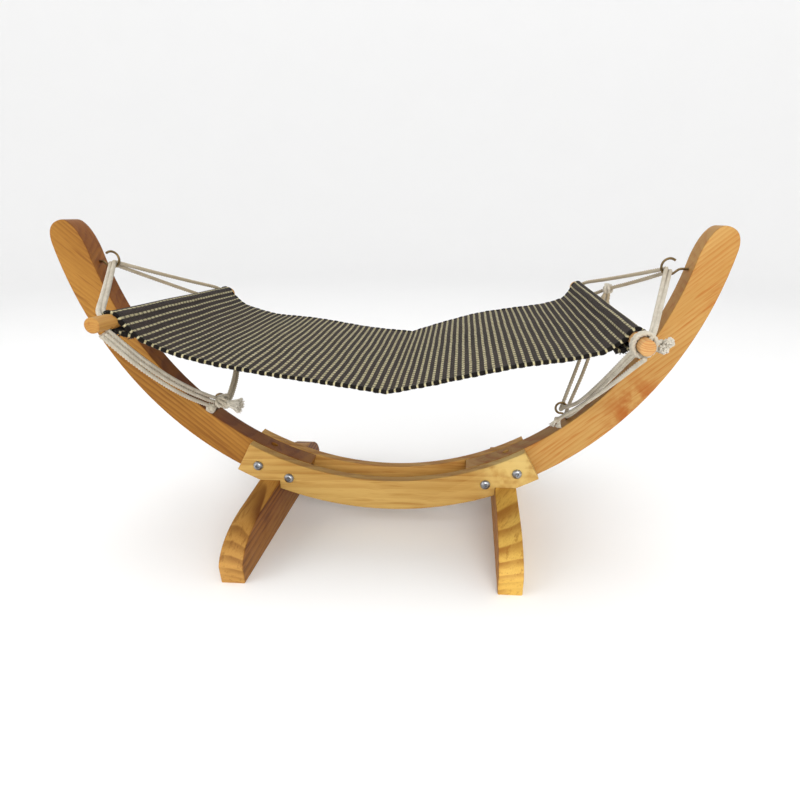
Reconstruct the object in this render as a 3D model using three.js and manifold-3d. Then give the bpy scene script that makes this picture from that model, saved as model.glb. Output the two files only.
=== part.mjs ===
// A pet hammock on a bolted pine stand.
// Millimetres, +Z up, +X along the hammock, -Y to the front, origin on the floor under the middle.
// Both arms and both rails are cut from one circle of board, whose centre stands above the origin.

import * as THREE from 'three';
import { mergeVertices } from 'three/addons/utils/BufferGeometryUtils.js';
import Module from 'manifold-3d';

const wasm = await Module();
wasm.setup();

const DEG = Math.PI / 180;
const GAP = 0.3;

// The circle that the boards of the stand follow, and how far each board runs round it from below.
const RING_Z = 394.5;
const RING_OUTER = 372.5;
const RING_INNER = 335.5;
const ARM_START = 16.2 * DEG;
const ARM_OUTER_END = 79 * DEG;
const ARM_INNER_END = 76.5 * DEG;
const RAIL_END = 28.7 * DEG;
const ARM_THICK = 30;
const RAIL_THICK = 14;
const EASED_EDGE = 1.2;

// The two cross-legs, let into the undersides of the rails and arms.
const LEG_X = 141;
const LEG_THICK = 25;
const LEG_TOP = 55;
const LEG_REACH = 168;
const LEG_SOLE = 165;

// M6 through-bolts, on the middle line of the boards.
const BOLT_RADIUS = 355.5;
const BOLT_ANGLES = { inner: 19.2 * DEG, outer: 25.5 * DEG };
const BOLT_SHANK = 3;
const BOLT_HEAD = 5.8;
const BOLT_HEAD_HIGH = 3.4;
const BOLT_LONG = 70;
const WASHER_RADIUS = 6.2;
const WASHER_THICK = 1.2;
const NUT_RADIUS = 5.77;
const NUT_THICK = 5;

// One long screw holds each arm down on its leg.
const SCREW_SHANK = 2;
const SCREW_HEAD = 4;
const SCREW_SEAT = 76;
const SCREW_TIP = 22;

// Open screw hooks, whose shanks run into the inner edge of each arm.
const WIRE = 1.3;
const HOOK_SHANK_IN_WOOD = 18;
const HOOKS = {
  left: {
    upper: { entry: [321.8, 303.5], turn: 0, ring: 8.4, ringAt: [13, 2.5], neck: 3 },
    lower: { entry: [209.8, 132.7], turn: 53 * DEG, ring: 6.4, ringAt: [15.5, 2], neck: 8.5 },
  },
  right: {
    upper: { entry: [321.8, 303.5], turn: 0, ring: 8.4, ringAt: [19, 2.5], neck: 8 },
    lower: { entry: [209.8, 132.7], turn: 53 * DEG, ring: 6.4, ringAt: [15.5, 2], neck: 8.5 },
  },
};

// The dowels lean a little, one each way, as the tied ropes leave them.
const DOWEL_RADIUS = 7;
const DOWEL_HALF = 173;
const DOWELS = {
  left: { side: -1, centre: [-241, 0, 256], lean: [-3.6, -6], holes: [-142, -150, 151] },
  right: { side: 1, centre: [238, 0, 259], lean: [-4, 7], holes: [-155, -162, 151] },
};
const HOLE_TILT = 37 * DEG;
const HOLE_RADIUS = 2.5;

// Cotton rope. Each route names the places that the rope passes, in order.
const ROPE = 2;
const ROPE_BEND = 8;
const TAUT = 0.6;
const OUTER_RISE = 3;
const ROPE_TURN_AT = -147.5;
const KNOTS = {
  lower_left: { at: [-190, -21, 149.5], radius: 6.5, long: 14 },
  tail_left: { at: [-201.5, -28, 142.8], radius: 4.5, long: 11 },
  rear_left: { at: [-248.3, 158, 238], radius: 5, long: 11 },
  tail_right: { at: [197, -12, 135.5], radius: 3.6, long: 11 },
  rear_right: { at: [238.4, 158, 252.6], radius: 5, long: 11 },
  strand_right: { at: [262, 100, 272], radius: 4.5, long: 10 },
};
const [INNER, OUTER, REAR] = [0, 1, 2];
const ROPES = {
  left: {
    upper_1: { by: [{ above: INNER }, { hook: 'upper', at: [15.6, -0.4] }, { above: REAR }] },
    upper_2: { by: [{ above: OUTER }, { hook: 'upper', at: [11.2, -1.9] }, { knot: 'rear_left' }] },
    lower_1: { sag: [5, 15], by: [{ below: INNER }, { hook: 'lower', at: [14.6, 0.8] }, { below: REAR }] },
    lower_2: { sag: [6, 15], by: [{ below: OUTER }, { hook: 'lower', at: [4, -4.4] }, { knot: 'rear_left' }] },
    tail: { sag: [4], by: [{ end: [-237.4, -168, 252.4] }, { knot: 'tail_left' }] },
  },
  right: {
    upper_1: { by: [{ above: INNER }, { hook: 'upper', at: [22.1, 0.5] }, { above: REAR }] },
    upper_2: { by: [{ above: OUTER }, { hook: 'upper', at: [17.6, -2.1] }, { knot: 'strand_right' }] },
    lower_1: { by: [{ below: INNER }, { hook: 'lower', at: [14.6, 0.8] }, { end: [259.3, 99, 265.2] }] },
    lower_2: { sag: [0.6, 14], by: [{ below: OUTER }, { hook: 'lower', at: [4, -4.4] }, { end: [265, 100, 265.2] }] },
    tail: { sag: [2.6], by: [{ end: [242, -168, 242.2] }, { knot: 'tail_right' }] },
    tie: { by: [{ knot: 'strand_right' }, { knot: 'rear_right' }] },
  },
};

// The sling: a woven sheet with a sewn sleeve round each dowel.
const CLOTH = 2.4;
const SLEEVE_WALL = 2;
const SLING_FRONT = -131;
const SLING_REAR = 145;
// Each row: distance along X, height on the middle line, how much the rear edge stands above that.
const SLING_LEFT = [
  [-234.5, 249.2, -5],
  [-204, 235, -1],
  [-174, 226, 0],
  [-115, 217.5, 3],
  [-40, 207, 2.5],
  [16, 201, 4],
];
const SLING_RIGHT = [
  [16, 201, 4],
  [53, 211, 6],
  [105, 224.5, 7],
  [146, 232.5, 6],
  [193, 240, 6],
  [232.5, 252, 6.5],
];

const finishes = {
  pine: new THREE.MeshStandardMaterial({ color: 0xd9a35a, roughness: 0.55 }),
  paleWood: new THREE.MeshStandardMaterial({ color: 0xe2b878, roughness: 0.6 }),
  zinc: new THREE.MeshStandardMaterial({ color: 0xb9bcc0, roughness: 0.3, metalness: 1 }),
  bronze: new THREE.MeshStandardMaterial({ color: 0x5a4a34, roughness: 0.35, metalness: 1 }),
  cotton: new THREE.MeshStandardMaterial({ color: 0xe3dcc4, roughness: 0.95 }),
  cloth: new THREE.MeshStandardMaterial({ color: 0x39343c, roughness: 0.9 }),
};

// ---- joining and cutting ----

function solidOf(geometry, matrix = new THREE.Matrix4()) {
  const bare = geometry.clone().applyMatrix4(matrix);
  bare.deleteAttribute('normal');
  bare.deleteAttribute('uv');
  const merged = mergeVertices(bare, 1e-4);
  const vertProperties = Float32Array.from(merged.attributes.position.array);
  const triVerts = Uint32Array.from(merged.index.array);
  return new wasm.Manifold(new wasm.Mesh({ numProp: 3, vertProperties, triVerts }));
}

function geometryOf(solid) {
  const mesh = solid.getMesh();
  const geometry = new THREE.BufferGeometry();
  geometry.setAttribute('position', new THREE.BufferAttribute(mesh.vertProperties, 3));
  geometry.setIndex(new THREE.BufferAttribute(mesh.triVerts, 1));
  geometry.computeVertexNormals();
  return geometry;
}

function cut(geometry, cutters) {
  const body = cutters.reduce((solid, cutter) => solid.subtract(solidOf(cutter)), solidOf(geometry));
  return geometryOf(body);
}

// A round cutter along local Y, turned and moved to where it cuts.
function drill(radius, length, place) {
  return new THREE.CylinderGeometry(radius, radius, length, 20).applyMatrix4(place);
}

function placed(x, y, z, turnX = 0, turnZ = 0) {
  const turn = new THREE.Quaternion().setFromEuler(new THREE.Euler(turnX, 0, turnZ));
  return new THREE.Matrix4().compose(new THREE.Vector3(x, y, z), turn, new THREE.Vector3(1, 1, 1));
}

function mesh(name, geometry, material) {
  const node = new THREE.Mesh(geometry, material);
  node.name = name;
  return node;
}

// ---- the ring of boards, drawn in the plane of the ring with its centre at 0, 0 ----

function ringPoint(radius, angle) {
  return new THREE.Vector2(radius * Math.sin(angle), -radius * Math.cos(angle));
}

// A point given by its height above the floor, in the plane of the ring.
function overFloor(x, z) {
  return new THREE.Vector2(x, z - RING_Z);
}

function board(shape, thick, curveSegments) {
  const geometry = new THREE.ExtrudeGeometry(shape, {
    depth: thick - 2 * EASED_EDGE,
    bevelThickness: EASED_EDGE,
    bevelSize: EASED_EDGE,
    bevelOffset: -EASED_EDGE,
    bevelSegments: 2,
    curveSegments,
  });
  return geometry.translate(0, 0, EASED_EDGE - thick / 2);
}

function ringArc(shape, radius, from, to) {
  shape.absarc(0, 0, radius, from - Math.PI / 2, to - Math.PI / 2, from > to);
}

function armShape() {
  const shape = new THREE.Shape();
  const peak = overFloor(351, 347.5);
  const inner = ringPoint(RING_INNER, ARM_INNER_END);
  ringArc(shape, RING_OUTER, ARM_START, ARM_OUTER_END);
  shape.bezierCurveTo(367.8, 339 - RING_Z, 361.5, 345.5 - RING_Z, peak.x, peak.y);
  shape.bezierCurveTo(341, 349.5 - RING_Z, 331.5, 334 - RING_Z, inner.x, inner.y);
  ringArc(shape, RING_INNER, ARM_INNER_END, ARM_START);
  shape.closePath();
  return shape;
}

function railShape() {
  const shape = new THREE.Shape();
  ringArc(shape, RING_OUTER, -RAIL_END, RAIL_END);
  ringArc(shape, RING_INNER, RAIL_END, -RAIL_END);
  shape.closePath();
  return shape;
}

function boltPlaces(side) {
  return Object.entries(BOLT_ANGLES).map(([place, angle]) => {
    const at = ringPoint(BOLT_RADIUS, side * angle);
    return { place, x: at.x, y: at.y };
  });
}

function boltHoles(side) {
  const radius = BOLT_SHANK + GAP;
  return boltPlaces(side).map(({ x, y }) => drill(radius, 3 * ARM_THICK, placed(x, y, 0, 90 * DEG)));
}

// The slot over a leg, open at the bottom.
function legSlot(side) {
  const high = LEG_TOP + GAP;
  const slot = new THREE.BoxGeometry(LEG_THICK + 2 * GAP, high, 3 * ARM_THICK);
  return slot.translate(side * LEG_X, high / 2 - RING_Z, 0);
}

function hookHole({ entry, turn }) {
  const from = overFloor(...entry);
  const long = HOOK_SHANK_IN_WOOD + 1;
  const middle = new THREE.Vector2(long / 2 - 1 / 2, 0).rotateAround(new THREE.Vector2(), -turn);
  const place = placed(from.x + middle.x, from.y + middle.y, 0, 0, 90 * DEG - turn);
  return drill(WIRE + GAP, long + 1, place);
}

function armGeometry(hooks) {
  const seat = SCREW_SEAT - RING_Z;
  const wide = 40;
  const through = drill(SCREW_SHANK + GAP, 3 * wide, placed(LEG_X, seat, 0));
  const sunk = drill(SCREW_HEAD + GAP, wide, placed(LEG_X, seat + wide / 2, 0));
  const hookHoles = Object.values(hooks).map(hookHole);
  const cutters = [...boltHoles(1), legSlot(1), through, sunk, ...hookHoles];
  return cut(board(armShape(), ARM_THICK, 15), cutters);
}

function railGeometry() {
  const cutters = [...boltHoles(1), ...boltHoles(-1), legSlot(1), legSlot(-1)];
  return cut(board(railShape(), RAIL_THICK, 14), cutters);
}

// ---- legs: drawn across the object, local X to the rear and local Y up ----

function legGeometry() {
  const shape = new THREE.Shape();
  shape.moveTo(-LEG_SOLE, 0);
  shape.lineTo(LEG_SOLE, 0);
  shape.lineTo(LEG_REACH, 20);
  shape.bezierCurveTo(161, 38, 134, 48, 96, 50.5);
  shape.lineTo(30, LEG_TOP);
  shape.lineTo(-30, LEG_TOP);
  shape.lineTo(-96, 50.5);
  shape.bezierCurveTo(-134, 48, -161, 38, -LEG_REACH, 20);
  shape.closePath();
  const long = 2 * (LEG_TOP - SCREW_TIP + 2);
  return cut(board(shape, LEG_THICK, 12), [drill(SCREW_SHANK + GAP, long, placed(0, LEG_TOP, 0))]);
}

// ---- hardware, turned about local Y ----

function lathe(profile, segments = 24) {
  return new THREE.LatheGeometry(profile.map(([x, y]) => new THREE.Vector2(x, y)), segments);
}

function hexPrism(radius, high) {
  return new THREE.CylinderGeometry(radius, radius, high, 6);
}

// The head stands above local 0 and the shank hangs below it.
function boltGeometry() {
  const socketDeep = 2;
  const turned = lathe([
    [0, -BOLT_LONG],
    [BOLT_SHANK - 0.6, -BOLT_LONG],
    [BOLT_SHANK, 0.8 - BOLT_LONG],
    [BOLT_SHANK, 0],
    [BOLT_HEAD, 0],
    [BOLT_HEAD, 0.7],
    [BOLT_HEAD * 0.93, 1.7],
    [BOLT_HEAD * 0.76, 2.7],
    [BOLT_HEAD * 0.5, BOLT_HEAD_HIGH],
    [0, BOLT_HEAD_HIGH],
  ]);
  const socket = hexPrism(2.3, 2 * socketDeep).translate(0, BOLT_HEAD_HIGH, 0);
  return cut(turned, [socket]);
}

function ringOf(inner, outer, high, segments = 24) {
  return lathe([
    [inner, 0],
    [outer, 0],
    [outer, high],
    [inner, high],
    [inner, 0],
  ], segments);
}

function nutGeometry() {
  const bore = new THREE.CylinderGeometry(BOLT_SHANK + GAP, BOLT_SHANK + GAP, 3 * NUT_THICK, 20);
  return cut(hexPrism(NUT_RADIUS, NUT_THICK), [bore]).translate(0, NUT_THICK / 2, 0);
}

// The head's underside is at local 0.
function screwGeometry() {
  const long = SCREW_SEAT + GAP - SCREW_TIP;
  return lathe([
    [0, -long],
    [SCREW_SHANK, 5 - long],
    [SCREW_SHANK, 0],
    [SCREW_HEAD, 0],
    [SCREW_HEAD, 1.2],
    [SCREW_HEAD * 0.7, 2.6],
    [0, 2.6],
  ], 18);
}

// ---- tubes along a curve ----

function tube(points, radius, steps, sides = 8) {
  const section = new THREE.Shape();
  section.absarc(0, 0, radius, 0, 2 * Math.PI, false);
  const extrudePath = new THREE.CatmullRomCurve3(points, false, 'centripetal');
  return new THREE.ExtrudeGeometry(section, { steps, curveSegments: sides / 2, extrudePath });
}

// Local +X leaves the wood at 0; the wire dips and then curls up and over, back towards the wood.
function hookGeometry({ ring, ringAt, neck }) {
  const points = [-HOOK_SHANK_IN_WOOD, -9, 0, neck].map((x) => new THREE.Vector3(x, 0, 0));
  for (let angle = 240; angle <= 490; angle += 25) {
    const x = ringAt[0] + ring * Math.cos(angle * DEG);
    points.push(new THREE.Vector3(x, ringAt[1] + ring * Math.sin(angle * DEG), 0));
  }
  return tube(points, WIRE, 40).rotateY(180 * DEG);
}

// ---- dowels ----

// Y runs along the dowel to the rear, and Z along its rope holes, up and out.
function dowelFrame({ side, centre, lean }) {
  const along = new THREE.Vector3(lean[0], DOWEL_HALF, lean[1]).normalize();
  const hole = new THREE.Vector3(side * Math.sin(HOLE_TILT), 0, Math.cos(HOLE_TILT));
  hole.addScaledVector(along, -hole.dot(along)).normalize();
  const across = new THREE.Vector3().crossVectors(along, hole);
  return new THREE.Matrix4().makeBasis(across, along, hole).setPosition(...centre);
}

function dowelGeometry({ holes }) {
  const cutters = holes.map((y) => drill(HOLE_RADIUS, 4 * DOWEL_RADIUS, placed(0, y, 0, 90 * DEG)));
  const eased = 1;
  const rod = lathe([
    [0, -DOWEL_HALF],
    [DOWEL_RADIUS - eased, -DOWEL_HALF],
    [DOWEL_RADIUS, eased - DOWEL_HALF],
    [DOWEL_RADIUS, DOWEL_HALF - eased],
    [DOWEL_RADIUS - eased, DOWEL_HALF],
    [0, DOWEL_HALF],
  ]);
  return cut(rod, cutters);
}

// ---- the sling ----

function slingHalf(rows) {
  return new THREE.CatmullRomCurve3(rows.map((row) => new THREE.Vector3(...row)), false, 'centripetal');
}

const slingLeft = slingHalf(SLING_LEFT);
const slingRight = slingHalf(SLING_RIGHT);

// The middle of the cloth: along 0 to 1 from left to right, across -1 to 1 from front to rear.
function slingPoint(along, across) {
  const crease = 0.52;
  const half = along < crease ? slingLeft : slingRight;
  const share = along < crease ? along / crease : (along - crease) / (1 - crease);
  const row = half.getPoint(share);
  const y = (SLING_FRONT + SLING_REAR) / 2 + (across * (SLING_REAR - SLING_FRONT)) / 2;
  return new THREE.Vector3(row.x, y, row.y + across * row.z);
}

function clothSolid() {
  const [longSteps, wideSteps] = [50, 4];
  const sheet = new THREE.BoxGeometry(1, 1, 2, longSteps, 1, wideSteps);
  const position = sheet.attributes.position;
  for (let i = 0; i < position.count; i += 1) {
    const point = slingPoint(position.getX(i) + 0.5, -position.getZ(i));
    position.setXYZ(i, point.x, point.y, point.z + position.getY(i) * CLOTH);
  }
  return solidOf(sheet);
}

function slingGeometry() {
  const inner = DOWEL_RADIUS + GAP;
  const long = SLING_REAR - SLING_FRONT;
  let solid = clothSolid();
  for (const dowel of Object.values(DOWELS)) {
    const frame = dowelFrame(dowel);
    const sleeve = ringOf(inner, inner + SLEEVE_WALL, long).translate(0, SLING_FRONT, 0);
    const room = new THREE.CylinderGeometry(inner, inner, 2 * long, 24);
    solid = solid.add(solidOf(sleeve, frame)).subtract(solidOf(room, frame));
  }
  return geometryOf(solid);
}

// ---- ropes ----

function hookPoint(sideName, level, [out, up]) {
  const { entry, turn } = HOOKS[sideName][level];
  const local = new THREE.Vector2(-out, up).rotateAround(new THREE.Vector2(), -turn);
  return new THREE.Vector3(DOWELS[sideName].side * (entry[0] + local.x), 0, entry[1] + local.y);
}

function toward(from, to, distance) {
  return from.clone().add(to.clone().sub(from).setLength(distance));
}

// Where a rope meets a place: a hole's mouth, a hook, a knot or a bare end.
function anchor(sideName, place) {
  if (place.hook) return hookPoint(sideName, place.hook, place.at);
  if (place.knot) return new THREE.Vector3(...KNOTS[place.knot].at);
  if (place.end) return new THREE.Vector3(...place.end);
  const frame = dowelFrame(DOWELS[sideName]);
  const up = 'above' in place ? 1 : -1;
  const along = DOWELS[sideName].holes[place.above ?? place.below];
  return new THREE.Vector3(0, along, up * DOWEL_RADIUS).applyMatrix4(frame);
}

// The points of a rope's end, from its tip on towards the next place.
function ropeEnd(sideName, place, next) {
  const from = anchor(sideName, place);
  if (place.end) return [from, toward(from, next, 8)];
  if (place.knot) {
    const clear = KNOTS[place.knot].radius + 2 * GAP;
    return [toward(from, next, clear), toward(from, next, clear + 8)];
  }
  const frame = dowelFrame(DOWELS[sideName]);
  const hole = new THREE.Vector3(0, 0, 'above' in place ? 1 : -1).transformDirection(frame);
  const away = next.clone().sub(from).normalize();
  const at = (height, run) => from.clone().addScaledVector(hole, height).addScaledVector(away, run);
  const rise = (place.above ?? place.below) === OUTER ? OUTER_RISE : 0;
  return [at(0, 0), at(3, 1.8), at(4.9 + rise, 5.4), at(5.6 + rise, 11)];
}

function sagging(from, to, sag) {
  const count = 4;
  const points = [];
  for (let i = 1; i < count; i += 1) {
    const share = i / count;
    const point = from.clone().lerp(to, share);
    point.z -= 4 * sag * share * (1 - share);
    points.push(point);
  }
  return points;
}

function ropeRoute(sideName, { by, sag = [TAUT, TAUT] }) {
  const [first, last] = [by[0], by.at(-1)];
  const anchors = by.map((place) => anchor(sideName, place));
  const start = ropeEnd(sideName, first, anchors[1]);
  const end = ropeEnd(sideName, last, anchors.at(-2)).reverse();
  if (by.length === 2) return [...start, ...sagging(start.at(-1), end[0], sag[0]), ...end];
  const hook = anchors[1];
  const [before, after] = [toward(hook, start.at(-1), ROPE_BEND), toward(hook, end[0], ROPE_BEND)];
  const [down, back] = [sagging(start.at(-1), before, sag[0]), sagging(after, end[0], sag[1])];
  return [...start, ...down, before, hook, after, ...back, ...end];
}

function ropes(sideName) {
  const group = new THREE.Group();
  for (const [label, route] of Object.entries(ROPES[sideName])) {
    const steps = 25 * (route.by.length - 1);
    const geometry = tube(ropeRoute(sideName, route), ROPE, steps);
    group.add(mesh(`rope_${sideName}_${label}`, geometry, finishes.cotton));
  }
  return group;
}

// ---- knots ----

// A lump with softly rounded ends, wide along local Y.
function lump(radius, long) {
  return lathe([
    [0, -long / 2],
    [radius * 0.6, -long * 0.46],
    [radius * 0.93, -long * 0.25],
    [radius, 0],
    [radius * 0.93, long * 0.25],
    [radius * 0.6, long * 0.46],
    [0, long / 2],
  ], 14);
}

// A frayed end, narrow at local 0 and flared at its far end.
function tassel(narrow, wide, long) {
  return lathe([
    [0, 0],
    [narrow, 0],
    [narrow * 1.1, long * 0.35],
    [wide, long],
    [0, long],
  ], 14);
}

function at(node, position, rotation = [0, 0, 0]) {
  node.position.set(...position);
  node.rotation.set(...rotation);
  return node;
}

// ---- assembly ----

// Made as the right-hand one, and turned round for the left.
function armWithHooks(sideName, side) {
  const group = new THREE.Group();
  group.rotation.y = side > 0 ? 0 : 180 * DEG;
  const hooks = HOOKS[sideName];
  group.add(mesh(`arm_${sideName}`, armGeometry(hooks), finishes.pine));
  for (const [level, hook] of Object.entries(hooks)) {
    const entry = overFloor(...hook.entry);
    const node = mesh(`hook_${level}_${sideName}`, hookGeometry(hook), finishes.bronze);
    group.add(at(node, [entry.x, entry.y, 0], [0, 0, -hook.turn]));
  }
  return group;
}

function standRing() {
  const ring = new THREE.Group();
  ring.position.z = RING_Z;
  ring.rotation.x = 90 * DEG;
  const rail = railGeometry();
  const railAt = (ARM_THICK + RAIL_THICK) / 2 + GAP;
  ring.add(at(mesh('rail_front', rail, finishes.pine), [0, 0, railAt]));
  ring.add(at(mesh('rail_rear', rail, finishes.pine), [0, 0, -railAt]));
  const [bolt, washer, nut] = [boltGeometry(), ringOf(3.3, WASHER_RADIUS, WASHER_THICK), nutGeometry()];
  const face = railAt + RAIL_THICK / 2 + GAP;
  for (const [sideName, side] of [['left', -1], ['right', 1]]) {
    for (const { place, x, y } of boltPlaces(side)) {
      const name = `${sideName}_${place}`;
      const turned = [90 * DEG, 0, 0];
      ring.add(at(mesh(`bolt_${name}`, bolt, finishes.zinc), [x, y, face], turned));
      const washerAt = [x, y, -face - WASHER_THICK];
      ring.add(at(mesh(`washer_${name}`, washer, finishes.zinc), washerAt, turned));
      const nutAt = [x, y, -face - WASHER_THICK - GAP - NUT_THICK];
      ring.add(at(mesh(`nut_${name}`, nut, finishes.zinc), nutAt, turned));
    }
    ring.add(armWithHooks(sideName, side));
  }
  return ring;
}

function standBase() {
  const base = new THREE.Group();
  const [leg, screw] = [legGeometry(), screwGeometry()];
  for (const [sideName, side] of [['left', -1], ['right', 1]]) {
    const x = side * LEG_X;
    const across = [90 * DEG, 90 * DEG, 0];
    base.add(at(mesh(`leg_${sideName}`, leg, finishes.pine), [x, 0, 0], across));
    const screwAt = [x, 0, SCREW_SEAT + GAP];
    base.add(at(mesh(`leg_screw_${sideName}`, screw, finishes.zinc), screwAt, [90 * DEG, 0, 0]));
  }
  return base;
}

function hammock() {
  const group = new THREE.Group();
  group.add(mesh('sling', slingGeometry(), finishes.cloth));
  for (const [sideName, dowel] of Object.entries(DOWELS)) {
    const node = mesh(`dowel_${sideName}`, dowelGeometry(dowel), finishes.paleWood);
    node.applyMatrix4(dowelFrame(dowel));
    group.add(node);
    group.add(ropes(sideName));
  }
  return group;
}

function knots() {
  const group = new THREE.Group();
  const { cotton } = finishes;
  const add = (name, geometry, place, turn) => group.add(at(mesh(name, geometry, cotton), place, turn));
  const alongX = [0, 0, 90 * DEG];
  for (const [name, { at: place, radius, long }] of Object.entries(KNOTS)) {
    add(`knot_${name}`, lump(radius, long), place, alongX);
  }
  add('tassel_lower_left', tassel(3.5, 9, 14), [-182.5, -21, 149], [0, 0, -90 * DEG]);
  add('tassel_rear_right', tassel(2.5, 4.5, 13), [264.8, 107, 266.5], [-90 * DEG, 0, 0]);
  add('tassel_front_right', lump(6, 13), [260.5, -157, 252], alongX);
  const turn = ringOf(DOWEL_RADIUS + GAP, DOWEL_RADIUS + GAP + 2 * ROPE, 2 * ROPE);
  const node = mesh('rope_turn_right', turn.translate(0, ROPE_TURN_AT, 0), cotton);
  node.applyMatrix4(dowelFrame(DOWELS.right));
  group.add(node);
  return group;
}

const part = new THREE.Group();
part.add(standRing(), standBase(), hammock(), knots());

export default part;
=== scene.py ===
"""Looks model of a small pet hammock: a striped sling on two dowels, roped to a curved pine stand."""
import math
import random

import bmesh
import bpy
from mathutils import Matrix, Vector


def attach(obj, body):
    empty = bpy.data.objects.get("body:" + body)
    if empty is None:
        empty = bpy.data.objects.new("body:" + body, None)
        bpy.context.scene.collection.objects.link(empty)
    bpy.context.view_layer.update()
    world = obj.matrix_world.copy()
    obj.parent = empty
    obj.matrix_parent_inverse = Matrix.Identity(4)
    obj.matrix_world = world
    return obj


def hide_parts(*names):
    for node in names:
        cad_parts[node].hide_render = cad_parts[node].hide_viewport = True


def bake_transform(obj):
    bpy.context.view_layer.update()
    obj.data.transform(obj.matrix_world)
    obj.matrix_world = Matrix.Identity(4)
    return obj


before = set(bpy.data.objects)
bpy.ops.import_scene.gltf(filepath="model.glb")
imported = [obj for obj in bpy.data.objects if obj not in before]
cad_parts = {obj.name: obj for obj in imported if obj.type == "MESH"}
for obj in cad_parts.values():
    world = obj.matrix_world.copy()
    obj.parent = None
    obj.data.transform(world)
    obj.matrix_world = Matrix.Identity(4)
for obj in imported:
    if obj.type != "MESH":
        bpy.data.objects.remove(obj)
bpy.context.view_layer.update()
random.seed(11)
MM = 0.001


# ---- camera ----

CAMERA_AT = Vector((0.09091, -0.69001, 0.35499))
YAW, PITCH, ROLL = (math.radians(angle) for angle in (3.5, -20.32, 0.5))
LENS_MM, SENSOR_MM = 27.57, 36
SHIFT = (-0.0364, 0.0527)


def add_camera():
    data = bpy.data.cameras.new("camera")
    data.lens = LENS_MM
    data.sensor_width = SENSOR_MM
    data.shift_x, data.shift_y = SHIFT
    data.clip_start = 0.01
    camera = bpy.data.objects.new("camera", data)
    bpy.context.scene.collection.objects.link(camera)
    flat = math.cos(PITCH)
    forward = Vector((-math.sin(YAW) * flat, math.cos(YAW) * flat, math.sin(PITCH)))
    level = Vector((math.cos(YAW), math.sin(YAW), 0))
    above = level.cross(forward)
    right = math.cos(ROLL) * level + math.sin(ROLL) * above
    up = math.cos(ROLL) * above - math.sin(ROLL) * level
    turn = Matrix((right, up, -forward)).transposed().to_4x4()
    camera.matrix_world = Matrix.Translation(CAMERA_AT) @ turn
    bpy.context.scene.camera = camera


add_camera()


# ---- material helpers ----


class Nodes:
    """Short calls that add nodes to one material and join them."""

    def __init__(self, name):
        self.material = bpy.data.materials.new(name)
        self.material.use_nodes = True
        self.tree = self.material.node_tree
        self.shader = self.tree.nodes["Principled BSDF"]

    def join(self, value, socket):
        if isinstance(value, bpy.types.NodeSocket):
            self.tree.links.new(value, socket)
        else:
            socket.default_value = value

    def add(self, kind, **inputs):
        node = self.tree.nodes.new(kind)
        for name, value in inputs.items():
            self.join(value, node.inputs[name])
        return node

    def math(self, operation, first, second=0.0):
        node = self.tree.nodes.new("ShaderNodeMath")
        node.operation = operation
        self.join(first, node.inputs[0])
        self.join(second, node.inputs[1])
        return node.outputs[0]

    def less(self, amount):
        """One minus the amount."""
        return self.math("SUBTRACT", 1.0, amount)

    def times(self, first, second):
        return self.math("MULTIPLY", first, second)

    def plus(self, first, second):
        return self.math("ADD", first, second)

    def vector(self, operation, first, second=(0, 0, 0)):
        node = self.tree.nodes.new("ShaderNodeVectorMath")
        node.operation = operation
        self.join(first, node.inputs[0])
        self.join(second, node.inputs[1])
        number = operation in ("DOT_PRODUCT", "LENGTH")
        return node.outputs["Value"] if number else node.outputs[0]

    def place(self):
        """Where a point of the surface is on the object, in metres."""
        return self.tree.nodes.new("ShaderNodeTexCoord").outputs["Object"]

    def surface(self):
        return self.tree.nodes.new("ShaderNodeNewGeometry").outputs

    def attribute(self, name):
        """A number that the mesh holds at each vertex."""
        node = self.tree.nodes.new("ShaderNodeAttribute")
        node.attribute_name = name
        return node.outputs["Fac"]

    def distance(self, place, at):
        return self.vector("LENGTH", self.vector("SUBTRACT", place, at))

    def parts(self, vector):
        return self.add("ShaderNodeSeparateXYZ", Vector=vector).outputs

    def whole(self, x=0.0, y=0.0, z=0.0):
        return self.add("ShaderNodeCombineXYZ", X=x, Y=y, Z=z).outputs[0]

    def noise(self, vector, scale, detail=3.0, roughness=0.55):
        node = self.add(
            "ShaderNodeTexNoise", Vector=vector, Scale=scale, Detail=detail, Roughness=roughness)
        return node.outputs["Fac"]

    def mix(self, amount, first, second, how="MIX"):
        node = self.tree.nodes.new("ShaderNodeMix")
        node.data_type = "RGBA"
        node.blend_type = how
        self.join(amount, node.inputs[0])
        for value, socket in ((first, node.inputs[6]), (second, node.inputs[7])):
            linked = isinstance(value, bpy.types.NodeSocket)
            self.join(value if linked else (*value, 1), socket)
        return node.outputs[2]

    def ramp(self, amount, low, high):
        """A smooth step from 0 to 1 as the amount goes from low to high."""
        node = self.tree.nodes.new("ShaderNodeMapRange")
        node.interpolation_type = "SMOOTHSTEP"
        self.join(amount, node.inputs["Value"])
        self.join(low, node.inputs["From Min"])
        self.join(high, node.inputs["From Max"])
        return node.outputs[0]

    def bump(self, height, distance, strength=1.0):
        node = self.add("ShaderNodeBump", Height=height, Distance=distance, Strength=strength)
        return node.outputs[0]

    def finish(self, colour, roughness, normal=None, **fixed):
        self.join(colour, self.shader.inputs["Base Color"])
        self.join(roughness, self.shader.inputs["Roughness"])
        if normal is not None:
            self.join(normal, self.shader.inputs["Normal"])
        for name, value in fixed.items():
            self.shader.inputs[name.replace("_", " ")].default_value = value
        return self.material


GAMMA = 2.2
STUDIO_GAIN = 1.4


def colour(red, green, blue):
    """A colour as the eye sees it under the studio light, 0 to 255, as linear shader values."""
    return tuple((value / 255) ** GAMMA / STUDIO_GAIN for value in (red, green, blue))


def scaled(tint, amount):
    return tuple(min(1.0, value * amount) for value in tint)


# ---- wood ----


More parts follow.
